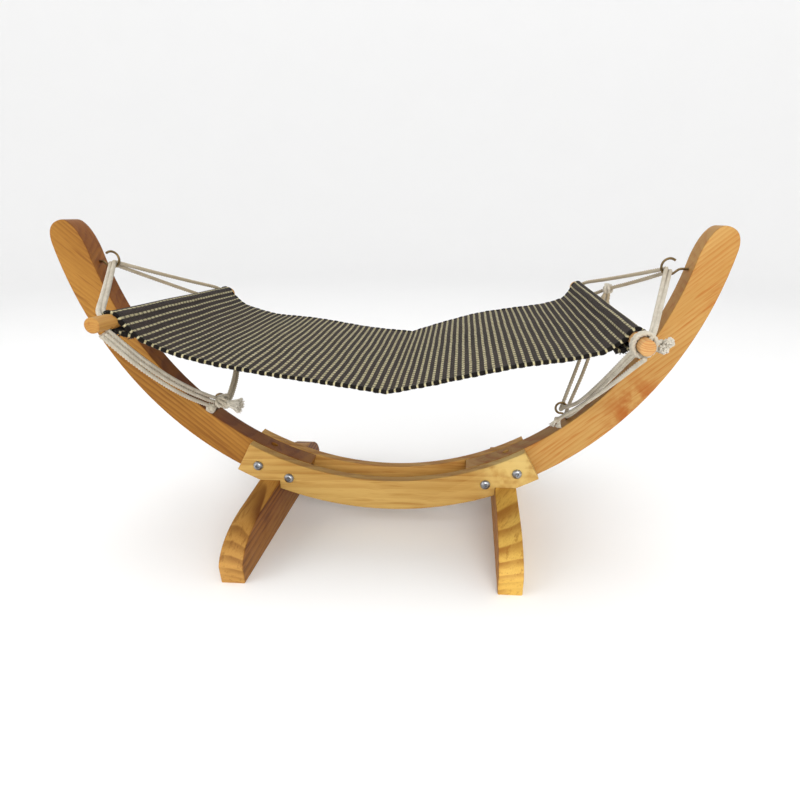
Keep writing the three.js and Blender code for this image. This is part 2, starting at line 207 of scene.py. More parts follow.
ALONG_GRAIN = 0.14
DRIFT_SCALE = 10.0
YEAR_UNEVEN = 1.7
LATE_WOOD = (0.2, 0.85, 0.88, 1.0)


def grown_place(nodes, place, heart, axis, waver, knots):
    """The place in the tree: across the pith in two ways and along it, bent by drift and knots."""
    axis = Vector(axis).normalized()
    side = axis.cross(Vector((0, 1, 0) if abs(axis.y) < 0.9 else (0, 0, 1))).normalized()
    ways = (side, axis.cross(side), axis)
    from_heart = nodes.vector("SUBTRACT", place, heart)
    local = nodes.whole(*(nodes.vector("DOT_PRODUCT", from_heart, tuple(way)) for way in ways))
    drawn = nodes.vector("MULTIPLY", local, (1.0, 1.0, ALONG_GRAIN))
    drift = nodes.add("ShaderNodeTexNoise", Vector=drawn, Scale=DRIFT_SCALE, Detail=2.0)
    bend = nodes.vector("SUBTRACT", drift.outputs["Color"], (0.5, 0.5, 0.5))
    moved = nodes.vector("ADD", local, nodes.vector("MULTIPLY", bend, (waver * 0.01,) * 3))
    for at, reach, pull in knots:
        near = nodes.math("DIVIDE", nodes.distance(place, at), reach)
        hump = nodes.math("EXPONENT", nodes.times(nodes.times(near, near), -1.0))
        moved = nodes.vector("ADD", moved, nodes.whole(nodes.times(hump, pull)))
    return drawn, moved


def late_wood(nodes, drawn, moved, ring):
    """How dark each growth ring is: it rises through the year and ends sharply."""
    x, y, _ = nodes.parts(moved)
    radius = nodes.math("SQRT", nodes.plus(nodes.times(x, x), nodes.times(y, y)))
    years = nodes.times(radius, 1000 / ring)
    uneven = nodes.noise(nodes.whole(nodes.times(years, 0.31)), 1.0, 1.0)
    phase = nodes.math("FRACT", nodes.plus(years, nodes.times(uneven, YEAR_UNEVEN)))
    begin, full, fall, end = LATE_WOOD
    late = nodes.times(nodes.ramp(phase, begin, full), nodes.less(nodes.ramp(phase, fall, end)))
    strength = nodes.ramp(nodes.noise(drawn, 24.0, 2.0), 0.3, 0.68)
    return nodes.times(late, nodes.plus(0.15, nodes.times(strength, 0.85)))


def wood(name, tones, heart, axis, ring, waver, contrast=0.8, painted_face_shade=None, knots=(), patch=None):
    """Sawn softwood: growth rings about a pith line off the board, cut by the board's faces.

    tones are the pale, middle and dark colours. heart is a point on the pith, axis its direction
    and ring the ring width in mm. The argument after contrast is painted shade, (the way a face
    looks, tint, amount), multiplied onto the faces that look that way. A knot is (place, reach,
    pull) and a patch is (place, reach, tint, amount): it holds the wood's own tint on the right
    arm and a painted patch of sunlight on the front rail.
    """
    pale, mid, dark = (colour(*tone) for tone in tones)
    nodes = Nodes(name)
    place = nodes.place()
    drawn, moved = grown_place(nodes, place, heart, axis, waver, knots)
    late = late_wood(nodes, drawn, moved, ring)
    base = nodes.mix(nodes.ramp(nodes.noise(drawn, 13.0, 3.0), 0.3, 0.7), pale, mid)
    base = nodes.mix(nodes.times(late, contrast), base, dark)
    fibre = nodes.noise(nodes.vector("MULTIPLY", moved, (1.0, 1.0, 0.03)), 1000.0, 2.0, 0.6)
    base = nodes.mix(nodes.times(nodes.ramp(fibre, 0.45, 0.75), 0.28), base, dark)
    streak = nodes.noise(nodes.vector("MULTIPLY", moved, (1.0, 1.0, 0.06)), 260.0, 2.0)
    base = nodes.mix(nodes.times(nodes.ramp(streak, 0.54, 0.7), 0.55), base, dark)
    for at, reach, _ in knots:
        eye = nodes.less(nodes.ramp(nodes.distance(place, at), reach * 0.12, reach * 0.36))
        base = nodes.mix(nodes.times(eye, 0.7), base, scaled(dark, 0.4))
    # A patch mixes a tint in through a cloud: the wood's own tint on the right arm, painted sunlight
    # on the front rail.
    if patch:
        at, reach, tint, amount = patch
        cloud = nodes.less(nodes.ramp(nodes.distance(place, at), reach * 0.2, reach))
        cloud = nodes.times(cloud, nodes.ramp(nodes.noise(place, 55.0, 3.0), 0.32, 0.6))
        base = nodes.mix(nodes.times(cloud, amount), base, colour(*tint))
    surface = nodes.surface()
    # Painted shade: the faces that look the given way are multiplied by a darker tint.
    if painted_face_shade:
        way, tint, amount = painted_face_shade
        way = tuple(Vector(way).normalized())
        facing = nodes.ramp(nodes.vector("DOT_PRODUCT", surface["Normal"], way), 0.25, 0.75)
        face_shaded = nodes.mix(1.0, base, tint, "MULTIPLY")
        base = nodes.mix(nodes.times(facing, amount), base, face_shaded)
    worn = nodes.ramp(surface["Pointiness"], 0.52, 0.6)
    base = nodes.mix(nodes.times(worn, 0.3), base, scaled(pale, 1.25))
    grain = nodes.plus(nodes.times(fibre, 0.5), nodes.times(late, -0.8))
    rough = nodes.plus(0.46, nodes.times(fibre, 0.2))
    return nodes.finish(base, rough, nodes.bump(grain, 0.00025, 0.6), Specular_IOR_Level=0.22)


# ---- metal ----


def metal(name, tint, dull, wear, rough):
    """Plated or browned metal: blotches of a duller tone, and edges rubbed bright."""
    nodes = Nodes(name)
    place = nodes.place()
    blotch = nodes.noise(place, 260.0, 4.0)
    fine = nodes.noise(place, 2600.0, 3.0)
    base = nodes.mix(nodes.ramp(blotch, 0.38, 0.66), colour(*tint), colour(*dull))
    rubbed = nodes.ramp(nodes.surface()["Pointiness"], 0.5, 0.62)
    base = nodes.mix(nodes.times(rubbed, 0.7), base, colour(*wear))
    amount = nodes.plus(rough, nodes.times(blotch, 0.22))
    return nodes.finish(base, amount, nodes.bump(fine, 0.00006, 0.5), Metallic=1.0)


# ---- rope ----

ROPE_RADIUS = 2.0
LAY = 11.5          # how far a strand runs in one turn about the rope (mm)
STRANDS = 3
STRAND_DEPTH = 0.3
SPLINE_STEPS = 24   # points between two given ones


def catmull(points, count):
    """Evenly spaced points along a smooth curve through the given ones (mm)."""
    ends = [2 * points[0] - points[1], *points, 2 * points[-1] - points[-2]]
    dense = []
    for i in range(1, len(ends) - 2):
        p0, p1, p2, p3 = ends[i - 1:i + 3]
        t0, t1 = 0.0, (p1 - p0).length ** 0.5
        t2 = t1 + (p2 - p1).length ** 0.5
        t3 = t2 + (p3 - p2).length ** 0.5
        for j in range(SPLINE_STEPS):
            t = t1 + (t2 - t1) * j / SPLINE_STEPS
            a1 = (p0 * (t1 - t) + p1 * (t - t0)) / (t1 - t0)
            a2 = (p1 * (t2 - t) + p2 * (t - t1)) / (t2 - t1)
            a3 = (p2 * (t3 - t) + p3 * (t - t2)) / (t3 - t2)
            b1 = (a1 * (t2 - t) + a2 * (t - t0)) / (t2 - t0)
            b2 = (a2 * (t3 - t) + a3 * (t - t1)) / (t3 - t1)
            dense.append((b1 * (t2 - t) + b2 * (t - t1)) / (t2 - t1))
    dense.append(points[-1].copy())
    return resample(dense, count)


def path_length(points):
    return sum((b - a).length for a, b in zip(points, points[1:]))


def resample(points, count):
    total = path_length(points)
    step = total / (count - 1)
    result, gone, want = [points[0].copy()], 0.0, step
    for a, b in zip(points, points[1:]):
        span = (b - a).length
        while span > 0 and want <= gone + span + 1e-9 and len(result) < count - 1:
            result.append(a.lerp(b, (want - gone) / span))
            want += step
        gone += span
    result.append(points[-1].copy())
    return result


def frames_along(points):
    """The way on, and two ways square to it that turn as little as they can, at each point."""
    after, before = [*points[1:], points[-1]], [points[0], *points[:-1]]
    ways = [(b - a).normalized() for a, b in zip(before, after)]
    side = ways[0].orthogonal().normalized()
    result = []
    for way in ways:
        side = (side - way * side.dot(way)).normalized()
        result.append((way, side, way.cross(side)))
    return result


def tube(bm, points, radius, sides=10, pitch=None, fuzz=0.0, taper=None, mark=None):
    """Add a closed tube along points in mm; a pitch gives it the strands of laid rope."""
    rings = []
    gone = 0.0
    for i, (point, (way, side, other)) in enumerate(zip(points, frames_along(points))):
        share = i / (len(points) - 1)
        if i:
            gone += (point - points[i - 1]).length
        ring = []
        for j in range(sides):
            angle = 2 * math.pi * j / sides
            spread = radius * (taper(share) if taper else 1.0)
            if pitch:
                wave = abs(math.cos(0.5 * STRANDS * (angle - 2 * math.pi * gone / pitch)))
                spread *= 1 - STRAND_DEPTH + STRAND_DEPTH * 1.5 * wave
            spread += random.uniform(-fuzz, fuzz)
            out = side * spread * math.cos(angle) + other * spread * math.sin(angle)
            vert = bm.verts.new((point + out) * MM)
            if mark:
                mark(vert, share)
            ring.append(vert)
        rings.append(ring)
    bridge(bm, rings)
    bm.faces.new(reversed(rings[0]))
    bm.faces.new(rings[-1])


def bridge(bm, rings):
    """Join each closed ring of vertices to the next with four-sided faces."""
    for a, b in zip(rings, rings[1:]):
        for j in range(len(a)):
            after = (j + 1) % len(a)
            bm.faces.new((a[j], a[after], b[after], b[j]))


def add_object(name, bm, material):
    bmesh.ops.recalc_face_normals(bm, faces=bm.faces[:])
    data = bpy.data.meshes.new(name)
    bm.to_mesh(data)
    bm.free()
    for face in data.polygons:
        face.use_smooth = True
    data.materials.append(material)
    piece = bpy.data.objects.new(name, data)
    bpy.context.scene.collection.objects.link(piece)
    return piece


# ---- cotton ----

REAR_SHADE_COTTON = (182, 160, 122)


def cotton_finish(name, pale, shade, rear_shade=0.7):
    """Soft rope, with painted shade in its hollows and a tan painted shade towards the rear."""
    nodes = Nodes(name)
    place = nodes.place()
    pale, shade = colour(*pale), colour(*shade)
    fine = nodes.noise(place, 2300.0, 3.0, 0.7)
    soft = nodes.noise(place, 90.0, 2.0)
    # Painted shade in the hollows between the strands.
    hollow = nodes.ramp(nodes.surface()["Pointiness"], 0.43, 0.53)
    base = nodes.mix(hollow, shade, pale)
    base = nodes.mix(nodes.times(nodes.ramp(soft, 0.35, 0.7), 0.35), base, shade)
    base = nodes.mix(nodes.times(fine, 0.2), base, scaled(shade, 0.7))
    # Painted shade: the rope turns tan towards the rear.
    rear_shaded = nodes.ramp(nodes.parts(place)["Y"], -0.06, 0.06)
    base = nodes.mix(nodes.times(rear_shaded, rear_shade), base, colour(*REAR_SHADE_COTTON))
    relief = nodes.bump(fine, 0.0004, 0.7)
    return nodes.finish(base, 0.95, relief, Sheen_Weight=0.15, Sheen_Roughness=0.6)


cotton = cotton_finish("cotton", (228, 220, 202), (172, 158, 132))
pale_cotton = cotton_finish("pale_cotton", (240, 233, 218), (204, 194, 172), rear_shade=0.15)


# ---- routes: the same places as in the CAD, in mm ----

HOOK_UPPER = (321.8, 303.5)
DOWEL_RADIUS = 7.0
DOWEL_REACH = 173
DOWELS = {
    "left": {"side": -1, "centre": (-241, 0, 256), "lean": (-3.6, -6), "holes": (-142, -150, 151)},
    "right": {"side": 1, "centre": (238, 0, 259), "lean": (-4, 7), "holes": (-155, -162, 151)},
}
HOLE_TILT = math.radians(37)
KNOTS = {
    "lower_left": (Vector((-191, -21, 149.5)), 8.5),
    "tail_left": (Vector((-202.5, -29, 143.5)), 5.5),
    "rear_left": (Vector((-248.3, 158, 238)), 5),
    "tail_right": (Vector((197, -12, 135.5)), 3.6),
    "rear_right": (Vector((238.4, 158, 252.6)), 5),
    "strand_right": (Vector((263, 100, 271.5)), 6.4),
}
KNOT_COVER = 2.5
FROM_KNOT = 9
FROM_HOOK = 8
FROM_END = 8
OUT_OF_HOLE = ((-2, 0), (0.9, 1.2), (2.4, 4.5), (3.0, 10))


def dowel_frame(side_name):
    """A dowel's middle, the way it runs, the way its holes open and the way square to both."""
    dowel = DOWELS[side_name]
    along = Vector((dowel["lean"][0], DOWEL_REACH, dowel["lean"][1])).normalized()
    hole = Vector((dowel["side"] * math.sin(HOLE_TILT), 0, math.cos(HOLE_TILT)))
    hole = (hole - along * hole.dot(along)).normalized()
    return Vector(dowel["centre"]), along, hole, along.cross(hole)


def hook_point(side_name, out, up):
    """A place in an upper hook, so far out from it toward the dowel and so far up."""
    x, z = HOOK_UPPER
    return Vector((DOWELS[side_name]["side"] * (x - out), 0, z + up))


def toward(start, end, distance):
    return start + (end - start).normalized() * distance


def anchor(side_name, place):
    """Where a named place is: in a hook, in a knot, at a free end or at the top of a hole."""
    kind, what = place[0], place[1:]
    if kind == "hook":
        return hook_point(side_name, *what)
    if kind == "knot":
        return KNOTS[what[0]][0].copy()
    if kind == "end":
        return Vector(what)
    centre, along, hole, _ = dowel_frame(side_name)
    return centre + along * DOWELS[side_name]["holes"][what[0]] + hole * DOWEL_RADIUS


def rope_end(side_name, place, following):
    """The first points of a rope as it leaves a free end, a knot or a hole."""
    start = anchor(side_name, place)
    if place[0] == "end":
        return [start, toward(start, following, FROM_END)]
    if place[0] == "knot":
        clear = KNOTS[place[1]][1] - KNOT_COVER
        return [toward(start, following, clear), toward(start, following, clear + FROM_KNOT)]
    hole = dowel_frame(side_name)[2]
    away = (following - start).normalized()
    return [start + hole * height + away * run for height, run in OUT_OF_HOLE]


def sagging(start, end, sag):
    points = []
    for share in (0.25, 0.5, 0.75):
        point = start.lerp(end, share)
        point.z -= 4 * sag * share * (1 - share)
        points.append(point)
    return points


def routed(side_name, places, sag):
    """A rope between two named places, or over a hook between them."""
    anchors = [anchor(side_name, place) for place in places]
    start = rope_end(side_name, places[0], anchors[1])
    end = rope_end(side_name, places[-1], anchors[-2])[::-1]
    if len(places) == 2:
        return [*start, *sagging(start[-1], end[0], sag), *end]
    hook = anchors[1]
    before, after = toward(hook, start[-1], FROM_HOOK), toward(hook, end[0], FROM_HOOK)
    down, back = sagging(start[-1], before, sag), sagging(after, end[0], sag)
    return [*start, *down, before, hook, after, *back, *end]


def laid(*points):
    return [Vector(point) for point in points]


def bundle(start, end, sag, beside):
    """A sagging run that lies beside its neighbours by a given step."""
    start = Vector(start) + Vector(beside)
    end = Vector(end) + Vector(beside)
    return [start, *sagging(start, end, sag), end]


TAUT = 0.6
INNER, OUTER, REAR = 0, 1, 2
KNOTTED, TIED = "knot", "object"

# The upper ropes run straight between named places. The lower ones and the left tail are tied by
# hand, so each one's way is given point by point. Each rope ends with how its far end is held.
ROPES = {
    ("left", "upper_1"): (
        routed("left", (("hole", INNER), ("hook", 15.6, -0.4), ("hole", REAR)), TAUT), TIED),
    ("left", "upper_2"): (
        routed("left", (("hole", OUTER), ("hook", 11.2, -1.9), ("knot", "rear_left")), TAUT),
        KNOTTED),
    ("left", "lower_1"): (
        bundle((-236.8, -152, 253.5), (-197, -18, 151), 10, (0.4, 0, 1.2))
        + laid((-192, -8, 150), (-193, 14, 158.3), (-198.4, 48, 175.5), (-213.5, 95, 204.6),
               (-231, 135, 234), (-239, 150, 248)),
        TIED),
    ("left", "lower_2"): (
        bundle((-237.3, -156, 253), (-197, -20, 149), 10, (0, 0, -1.0))
        + laid((-190, -9, 146.5), (-190.5, 14, 154.2), (-196.9, 50, 171.5), (-216.2, 104, 204.3),
               (-236.5, 144, 229.8), (-246, 155, 238)),
        TIED),
    ("left", "tail"): (
        bundle((-238, -160, 253), (-204.5, -30.5, 149.6), 8.4, (-0.3, 0, -2.3)), KNOTTED),
    ("right", "upper_1"): (
        routed("right", (("hole", INNER), ("hook", 22.1, 0.5), ("hole", REAR)), TAUT), TIED),
    ("right", "upper_2"): (
        routed("right", (("hole", OUTER), ("hook", 17.6, -2.1), ("knot", "strand_right")), TAUT),
        KNOTTED),
    ("right", "lower_1"): (
        laid((239, -157.5, 253.5), (234.2, -146, 242), (223.8, -90, 200), (212.8, -40, 165),
             (203.4, -7, 148.6), (201.7, 0, 144.8), (204.4, 4.8, 150.6), (217.5, 27.1, 177.4),
             (230.5, 49.5, 204.4), (243.5, 71.9, 231.8), (256.5, 94.2, 259.4), (259.3, 99, 265.2)),
        TIED),
    ("right", "lower_2"): (
        laid((241, -161, 252), (236, -147, 239), (226, -90, 197), (216, -40, 160),
             (209, -10, 140), (208, 0, 137), (212, 12, 144), (231, 42, 178), (251, 76, 224),
             (263, 96, 258), (264, 100, 268)),
        TIED),
    ("right", "tail"): (
        routed("right", (("end", 242, -168, 242.2), ("knot", "tail_right")), 2.6), KNOTTED),
    ("right", "tie"): (
        routed("right", (("knot", "strand_right"), ("knot", "rear_right")), TAUT), KNOTTED),
}
ROPE_SIDES = 15
ROPE_STEP = 0.9         # length of rope from one ring of points to the next (mm)


def add_rope(side_name, label, points):
    total = path_length(catmull(points, 200))
    path = catmull(points, max(30, round(total / ROPE_STEP)))
    bm = bmesh.new()
    tube(bm, path, ROPE_RADIUS, sides=ROPE_SIDES, pitch=LAY, fuzz=0.05)
    node = f"rope_{side_name}_{label}"
    piece = add_object(f"cotton_{node}", bm, cotton)
    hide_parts(node)
    hanging = label.startswith(("lower", "tail"))
    if hanging:
        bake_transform(piece)
    else:
        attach(piece, "hammock")


for (side_name, label), (points, far_end) in ROPES.items():
    add_rope(side_name, label, points)


# ---- sling ----

SLING_FRONT, SLING_REAR = -131.0, 145.0

# The cloth's middle line: x and z in mm, and how much higher it is at the rear edge.
SLING_LEFT = (
    (-234.5, 249.2, -5), (-204, 235, -1), (-174, 226, 0), (-115, 217.5, 3), (-40, 207, 2.5),
    (16, 201, 4))
SLING_RIGHT = (
    (16, 201, 4), (53, 211, 6), (105, 224.5, 7), (146, 232.5, 6), (193, 240, 6),
    (232.5, 252, 6.5))
BODY_FROM, BODY_TO = -217, 215
SLEEVE_GAP = 0.4
SEAM_IN = 17
SEAM_DOWN = {"left": 14.5, "right": 12.5}
CLOTH = 1.9
STRIPES = 82
ACROSS = 93
ALONG = 460


def sling_section(across):
    """The middle line of the cloth between the dowels, from the front (-1) to the rear (1)."""
    line = []
    for rows in (SLING_LEFT, SLING_RIGHT):
        row_points = [Vector((x, z + across * tilt, 0)) for x, z, tilt in rows]
        line.extend(catmull(row_points, 60)[1 if line else 0:])
    return [Vector((point.x, 0, point.y)) for point in line]


def sleeve(side_name, y):
    """The cloth round one dowel: from its seam, below the dowel, up and over its top."""
    centre, along, _, _ = dowel_frame(side_name)
    middle = centre + along * (y / along.y)
    side = DOWELS[side_name]["side"]
    radius = DOWEL_RADIUS + SLEEVE_GAP + CLOTH / 2
    turns = [math.radians(-104 + 280 * step / 30) for step in range(31)]
    arc = [middle + Vector((side * math.cos(a), 0, math.sin(a))) * radius for a in turns]
    seam = middle + Vector((-side * SEAM_IN, 0, -SEAM_DOWN[side_name]))
    return [seam, seam.lerp(arc[0], 0.5) + Vector((0, 0, -0.6)), *arc]


def sling_line(across):
    """The whole line of the cloth, with its sleeves, from the front (-1) to the rear (1)."""
    y = (SLING_FRONT + SLING_REAR) / 2 + across * (SLING_REAR - SLING_FRONT) / 2
    body = sling_section(across)
    for point in body:
        point.y = y
    inside = [point for point in body if BODY_FROM < point.x < BODY_TO]
    return sleeve("left", y) + inside + sleeve("right", y)[::-1]


def fine_line(across, count):
    return resample(catmull(sling_line(across), 3 * ALONG), count)


def rear_reach(x):
    """How much further back the sleeves reach than the body of the cloth (mm)."""
    return 13 * math.exp(-((x + 238) / 16) ** 2) + 12 * math.exp(-((x - 236) / 18) ** 2)


def front_reach(x):
    """How much further forward the sleeves reach than the body of the cloth (mm)."""
    return 11 * math.exp(-((x + 240) / 19) ** 2) + 6 * math.exp(-((x - 238) / 19) ** 2)


def cloth_point(point, run, share, edge):
    """A point of the cloth with its slight waves, its sleeves' reach and its scalloped edge."""
    body = 1 - abs(2 * run - 1) ** 6
    wave = 0.55 * math.sin(run * 37 + 5 * share) * math.sin(share * 9 + run * 11) * body
    reach = rear_reach(point.x) * share ** 6 - front_reach(point.x) * (1 - share) ** 6
    moved = point + Vector((0, reach, wave))
    moved.y += edge * 0.55 * abs(math.sin(math.pi * run * STRIPES))
    return moved


def add_sling(edges):
    bm = bmesh.new()
    run_layer = bm.verts.layers.float.new("run")
    across_layer = bm.verts.layers.float.new("cross")
    grid = []
    for j in range(ACROSS):
        share = j / (ACROSS - 1)
        edge = {0: -1, ACROSS - 1: 1}.get(j, 0)
        row = []
        for i, point in enumerate(fine_line(2 * share - 1, ALONG)):
            run = i / (ALONG - 1)
            vert = bm.verts.new(cloth_point(point, run, share, edge) * MM)
            vert[run_layer] = run
            vert[across_layer] = share
            row.append(vert)
        grid.append(row)
    for a, b in zip(grid, grid[1:]):
        for i in range(ALONG - 1):
            bm.faces.new((a[i], a[i + 1], b[i + 1], b[i]))
    piece = add_object("striped_sling", bm, striped)
    thick = piece.modifiers.new("thick", "SOLIDIFY")
    thick.thickness = CLOTH * MM
    thick.offset = 0
    flat = ((SLING_REAR - SLING_FRONT) * MM, path_length(sling_line(0)) * MM)
    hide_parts("sling")
    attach(piece, "hammock")


HEM_SHARE = 0.016
STITCHES = 36
RIBS_PER_STRIPE = 5
PICKS = 230


def stripe_lines(nodes, run, cross, place, hem_area):
    """Where the pale stripes are: rows of stitches, wider at the hems and beside the dowels."""
    drift = nodes.times(nodes.math("SUBTRACT", nodes.noise(place, 30.0, 1.0), 0.5), 0.0016)
    step = nodes.times(nodes.plus(run, drift), float(STRIPES))
    phase = nodes.math("ABSOLUTE", nodes.math("SUBTRACT", nodes.math("FRACT", step), 0.5))
    near_dowel = nodes.ramp(nodes.math("ABSOLUTE", nodes.math("SUBTRACT", run, 0.5)), 0.2, 0.36)
    narrow = nodes.math("MAXIMUM", nodes.times(hem_area, 0.07), nodes.times(near_dowel, 0.06))
    line = nodes.less(nodes.ramp(nodes.plus(phase, narrow), 0.14, 0.24))
    stitch = nodes.math("FRACT", nodes.times(cross, float(STITCHES)))
    bead = nodes.math("ABSOLUTE", nodes.math("SUBTRACT", stitch, 0.5))
    bead = nodes.less(nodes.times(nodes.ramp(bead, 0.2, 0.46), 0.75))
    return nodes.times(line, nodes.math("MAXIMUM", bead, hem_area))


def stripe_finish():
    """Dark woven cloth with pale stitched stripes across it."""
    nodes = Nodes("striped_cloth")
    run, cross, place = nodes.attribute("run"), nodes.attribute("cross"), nodes.place()
    front_hem = nodes.math("LESS_THAN", cross, HEM_SHARE)
    hem_area = nodes.plus(front_hem, nodes.math("GREATER_THAN", cross, 1 - HEM_SHARE))
    line = stripe_lines(nodes, run, cross, place, hem_area)
    rib = nodes.math("SINE", nodes.times(run, STRIPES * RIBS_PER_STRIPE * 2 * math.pi))
    pick = nodes.math("SINE", nodes.times(cross, PICKS * 2 * math.pi))
    weave = nodes.times(rib, pick)
    mottle = nodes.noise(place, 500.0, 3.0)
    wide = nodes.noise(place, 12.0, 2.0)
    dark = nodes.mix(nodes.ramp(mottle, 0.35, 0.7), colour(16, 13, 14), colour(64, 53, 48))
    dark = nodes.mix(nodes.ramp(weave, -0.6, 1.0), dark, colour(78, 66, 58))
    dark = nodes.mix(nodes.times(nodes.ramp(wide, 0.4, 0.7), 0.35), dark, colour(28, 24, 24))
    black = nodes.mix(mottle, colour(12, 10, 10), colour(40, 35, 32))
    dark = nodes.mix(hem_area, dark, black)
    pale, shade = colour(240, 230, 186), colour(176, 164, 122)
    thread = nodes.mix(nodes.ramp(mottle, 0.3, 0.7), pale, shade)
    base = nodes.mix(line, dark, thread)
    height = nodes.plus(nodes.times(weave, 0.35), nodes.times(line, 0.9))
    height = nodes.plus(height, nodes.times(mottle, 0.4))
    return nodes.finish(
        base, 0.93, nodes.bump(height, 0.0009, 0.9),
        Sheen_Weight=0.06, Sheen_Roughness=0.5, Specular_IOR_Level=0.15)


def hem(name, edge, radius):
    """The rolled edge of the cloth, front (0) or rear (1), pinched where a stripe crosses it."""
    bm = bmesh.new()
    run_layer = bm.verts.layers.float.new("run")
    across_layer = bm.verts.layers.float.new("cross")
    line = fine_line(2 * edge - 1, 3 * ALONG)
    for point in line:
        point.y += rear_reach(point.x) * edge - front_reach(point.x) * (1 - edge)

    def mark(vert, share):
        vert[run_layer] = share
        vert[across_layer] = edge

    def bulge(share):
        block = math.floor(share * STRIPES + 0.5)
        uneven = 0.86 + 0.28 * ((block * 0.618) % 1)
        return uneven * (0.55 + 0.45 * abs(math.cos(math.pi * share * STRIPES)) ** 0.45)

    tube(bm, line, radius, sides=10, fuzz=0.12, taper=bulge, mark=mark)
    piece = add_object(name, bm, striped)
    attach(piece, "hammock")
    return piece


def anywhere(reach):
    return Vector([random.uniform(-reach, reach) for _ in range(3)])


END_THREADS = 150
EDGE_THREADS = 60
SLEEVE_POINTS = 110
THREAD_SIDES = 5


def thread_finish():
    nodes = Nodes("loose_thread")
    place = nodes.place()
    tone = nodes.mix(nodes.noise(place, 900.0, 2.0), colour(18, 16, 16), colour(66, 58, 54))
    relief = nodes.bump(nodes.noise(place, 4000.0), 0.0001)
    return nodes.finish(tone, 0.95, relief, Sheen_Weight=0.1)


def loose_threads():
    """Dark threads worked loose at the sleeves' front ends and along the front hem."""
    bm = bmesh.new()
    line = fine_line(-1, 3 * ALONG)
    for point in line:
        point.y -= front_reach(point.x)
    ends = line[:SLEEVE_POINTS] + line[-SLEEVE_POINTS:]
    for _ in range(END_THREADS):
        root = random.choice(ends).copy()
        way = Vector(
            (random.uniform(-1, 1), random.uniform(-1.6, 0.1), random.uniform(-1.2, 0.4)))
        tip = root + way.normalized() * random.uniform(1.8, 4.6)
        path = catmull([root, root.lerp(tip, 0.5) + anywhere(0.8), tip], 6)
        tube(bm, path, random.uniform(0.3, 0.55), sides=THREAD_SIDES)
    for _ in range(EDGE_THREADS):
        root = random.choice(line).copy()
        way = Vector(
            (random.uniform(-1, 1), random.uniform(-2.2, -1.2), random.uniform(-2.0, 0)))
        tip = root + way
        path = catmull([root, root.lerp(tip, 0.5), tip], 4)
        tube(bm, path, random.uniform(0.25, 0.4), sides=THREAD_SIDES)
    piece = add_object("loose_threads", bm, thread_finish())
    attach(piece, "hammock")
    return piece


striped = stripe_finish()
add_sling([hem("front_hem", 0, 2.3), hem("rear_hem", 1, 1.7), loose_threads()])


# ---- knots and frayed ends ----

KNOT_ROPE = 1.9
STRAND_SIDES = 6


def rope_piece(name, routes, body, node, fuzz=0.06, finish=cotton):
    """Tubes along several routes as one piece; the thick ones are laid like rope."""
    bm = bmesh.new()
    for points, radius in routes:
        path = catmull(points, max(12, round(path_length(points) / 0.8)))
        if radius > 1:
            tube(bm, path, radius, sides=ROPE_SIDES, pitch=LAY, fuzz=fuzz)
        else:
            tube(bm, path, radius, sides=STRAND_SIDES, fuzz=fuzz)
    piece = add_object(name, bm, finish)
    if node:
        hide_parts(node)
    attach(piece, body)


def loops(centre, radius, axis, turns, width):
    """Rope wound in a tight lump: turns about an axis that weave over each other."""
    axis = Vector(axis).normalized()
    side = axis.orthogonal().normalized()
    other = axis.cross(side)
    points = []
    steps = round(16 * turns)
    for i in range(steps + 1):
        share = i / steps
        angle = 2 * math.pi * turns * share
        slide = (share - 0.5) * width
        reach = radius * (1 + 0.12 * math.sin(3.1 * angle + 1.0))
        point = centre + side * reach * math.cos(angle) + other * reach * math.sin(angle)
        points.append(point + axis * (slide + 0.35 * radius * math.sin(2.2 * angle)))
    return points


def knot(name, body, axis, finish=cotton):
    centre, radius = KNOTS[name]
    inner = max(radius - 2.0, 1.6)
    axis = Vector(axis)
    core = axis.normalized() * radius * 0.9
    routes = [
        (loops(centre, inner, axis, 2.2, radius * 1.1), KNOT_ROPE),
        (loops(centre, inner * 0.95, axis.orthogonal(), 1.6, radius * 0.5), KNOT_ROPE),
        ([centre - core, centre, centre + core], KNOT_ROPE),
    ]
    rope_piece(f"tied_knot_{name}", routes, body, f"knot_{name}", finish=finish)


FRAY_CURL = 1.5


def frayed_strand(root, way, side, other, radii):
    """One strand of a frayed end, which spreads from the first radius to the second."""
    angle = random.uniform(0, 2 * math.pi)
    reach = math.sqrt(random.random())
    out = side * math.cos(angle) + other * math.sin(angle)
    long = random.uniform(0.8, 1.03)
    points = []
    for step in range(6):
        share = step / 5
        spread = reach * (radii[0] * (1 - share) * 0.8 + radii[1] * share ** 1.3)
        wobble = side * random.uniform(-FRAY_CURL, FRAY_CURL) * share * 0.4
        wobble += other * random.uniform(-FRAY_CURL, FRAY_CURL) * share * 0.4
        points.append(root + way * share * long + out * spread + wobble)
    return points, random.uniform(0.35, 0.6)


def fray(name, ends, radii, count, body, node=None):
    """A rope end combed out into many thin strands, from its root to its tip."""
    root, tip = laid(*ends)
    way = tip - root
    side = way.orthogonal().normalized()
    other = way.normalized().cross(side)
    routes = [([root - way * 0.3, root + way * 0.02, root + way * 0.2], radii[0])]
    for _ in range(count):
        routes.append(frayed_strand(root, way, side, other, radii))
    rope_piece(name, routes, body, node, fuzz=0.03, finish=pale_cotton)


